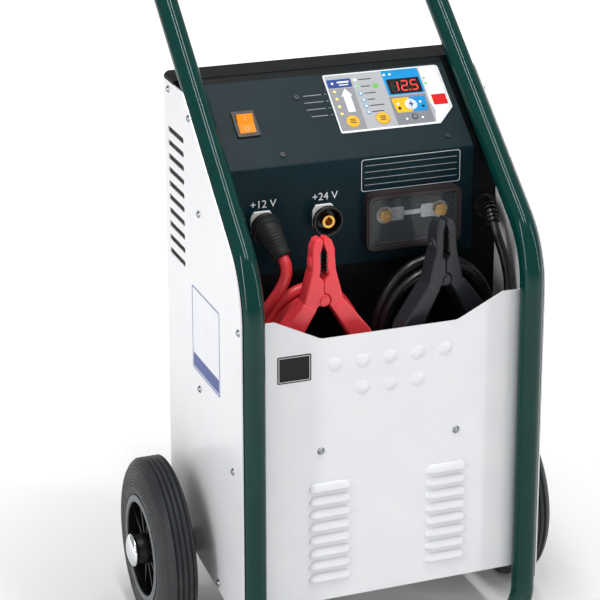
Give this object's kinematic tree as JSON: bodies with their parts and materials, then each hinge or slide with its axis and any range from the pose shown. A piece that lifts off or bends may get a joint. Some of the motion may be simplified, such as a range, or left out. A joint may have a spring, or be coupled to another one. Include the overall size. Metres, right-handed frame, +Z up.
{
  "type": "battery charger and starter trolley",
  "caption": "Wheeled battery charger and starter: bent tube frame with push handle, sheet metal body, sloping control console, and a pocket with leads and spring clamps.",
  "frame": {"origin": "on the floor under the middle of the bounding box", "axes": "+X to the right seen from the front, +Y to the back, +Z up; the front panel faces -Y"},
  "size_m": [0.4942, 0.3592, 0.7468],
  "materials": {
    "frame_paint": "glossy dark petrol green powder coat",
    "body_paint": "glossy white powder coat",
    "zinc_sheet": "satin grey sheet",
    "console_plastic": "fine grained black moulding",
    "face_print": "printed sheet, slate above the crease and dark petrol below",
    "keypad_film": "printed membrane film",
    "display_face": "smoked window",
    "key_yellow": "printed film",
    "key_black": "printed film",
    "switch_black": "moulded",
    "switch_orange": "lit lens",
    "nut_white": "moulded",
    "socket_black": "moulded",
    "brass": "turned",
    "fuse_frame": "moulded",
    "clear": "clear moulded cover",
    "fuse_alloy": "stamped strip",
    "rubber_black": "moulded, semi gloss",
    "rubber_red": "semi gloss sheath",
    "clamp_red": "moulded, soft gloss",
    "clamp_black": "moulded, soft gloss",
    "steel": "zinc plated",
    "chrome": "polished",
    "tyre": "solid rubber",
    "hub_plastic": "moulded",
    "core_iron": "varnished laminations",
    "winding": "varnished winding",
    "heat_sink": "extruded"
  },
  "bodies": {
    "trolley": {"axle": "steel", "base_plate": "zinc_sheet", "black_clamp_pin": "steel", "black_clamp_right": "clamp_black", "black_clamp_spring": "steel", "black_coil": "rubber_black", "black_gland": "rubber_black", "black_lead": "rubber_black", "cap_left": "chrome", "cap_right": "chrome", "console_housing": "console_plastic", "display_module": "display_face", "face_plate": "face_print", "face_screws": "steel", "foot_pad_left": "rubber_black", "foot_pad_right": "rubber_black", "frame_tube": "frame_paint", "front_panel": "body_paint", "fuse_base": "socket_black", "fuse_cover": "clear", "fuse_frame": "fuse_frame", "fuse_nuts": "brass", "fuse_strip": "fuse_alloy", "handle_tube": "frame_paint", "keypad_overlay": "keypad_film", "mains_gland": "rubber_black", "mains_hank": "rubber_black", "mains_lead": "rubber_black", "mains_plug": "rubber_black", "panel_screws": "steel", "pocket_tray": "zinc_sheet", "rear_panel": "zinc_sheet", "rectifier": "heat_sink", "red_clamp_pin": "steel", "red_clamp_right": "clamp_red", "red_clamp_spring": "steel", "red_coil": "rubber_red", "red_lead": "rubber_red", "red_plug": "rubber_black", "rocker_bezel": "switch_black", "side_panel_left": "body_paint", "side_panel_right": "body_paint", "socket_body_12v": "socket_black", "socket_body_24v": "socket_black", "socket_insert_12v": "brass", "socket_insert_24v": "brass", "socket_nuts": "nut_white", "transformer_core": "core_iron", "transformer_winding": "winding"},
    "wheel_left": {"tyre_left": "tyre", "hub_left": "hub_plastic"},
    "wheel_right": {"tyre_right": "tyre", "hub_right": "hub_plastic"},
    "rocker": {"rocker_paddle": "switch_orange"},
    "mode_key": {"key_mode": "key_yellow"},
    "select_key": {"key_select": "key_yellow"},
    "boost_key": {"key_boost": "key_yellow"},
    "voltage_key": {"key_voltage": "key_black"},
    "red_jaw": {"red_clamp_left": "clamp_red"},
    "black_jaw": {"black_clamp_left": "clamp_black"}
  },
  "joints": [
    {"name": "wheel_left_spin", "type": "hinge", "parent": "trolley", "child": "wheel_left", "pos_m": [-0.2124, 0.00535, 0.1], "axis": [1, 0, 0], "continuous": true},
    {"name": "wheel_right_spin", "type": "hinge", "parent": "trolley", "child": "wheel_right", "pos_m": [0.2124, 0.00535, 0.1], "axis": [1, 0, 0], "continuous": true},
    {"name": "rocker_tilt", "type": "hinge", "parent": "trolley", "child": "rocker", "pos_m": [-0.1068, 0.00012, 0.57874], "axis": [-1, 0, 0], "range_deg": [0, 18]},
    {"name": "mode_key_press", "type": "slide", "parent": "trolley", "child": "mode_key", "axis": [0, 0.6361, -0.7716], "range_m": [0, 0.0004], "stiffness_N_per_m": 1000, "springref_m": -0.0004},
    {"name": "select_key_press", "type": "slide", "parent": "trolley", "child": "select_key", "axis": [0, 0.6361, -0.7716], "range_m": [0, 0.0004], "stiffness_N_per_m": 1000, "springref_m": -0.0004},
    {"name": "boost_key_press", "type": "slide", "parent": "trolley", "child": "boost_key", "axis": [0, 0.6361, -0.7716], "range_m": [0, 0.0004], "stiffness_N_per_m": 1000, "springref_m": -0.0004},
    {"name": "voltage_key_press", "type": "slide", "parent": "trolley", "child": "voltage_key", "axis": [0, 0.6361, -0.7716], "range_m": [0, 0.0004], "stiffness_N_per_m": 1000, "springref_m": -0.0004},
    {"name": "red_clamp_squeeze", "type": "hinge", "parent": "trolley", "child": "red_jaw", "pos_m": [-0.065, -0.11865, 0.4195], "axis": [0, -1, 0], "range_deg": [0, 25], "stiffness_Nm_per_rad": 4, "springref_deg": -28.65},
    {"name": "black_clamp_squeeze", "type": "hinge", "parent": "trolley", "child": "black_jaw", "pos_m": [0.072, -0.11865, 0.4245], "axis": [0.2079, -0.9781, 0], "range_deg": [0, 25], "stiffness_Nm_per_rad": 4, "springref_deg": -28.65}
  ]
}
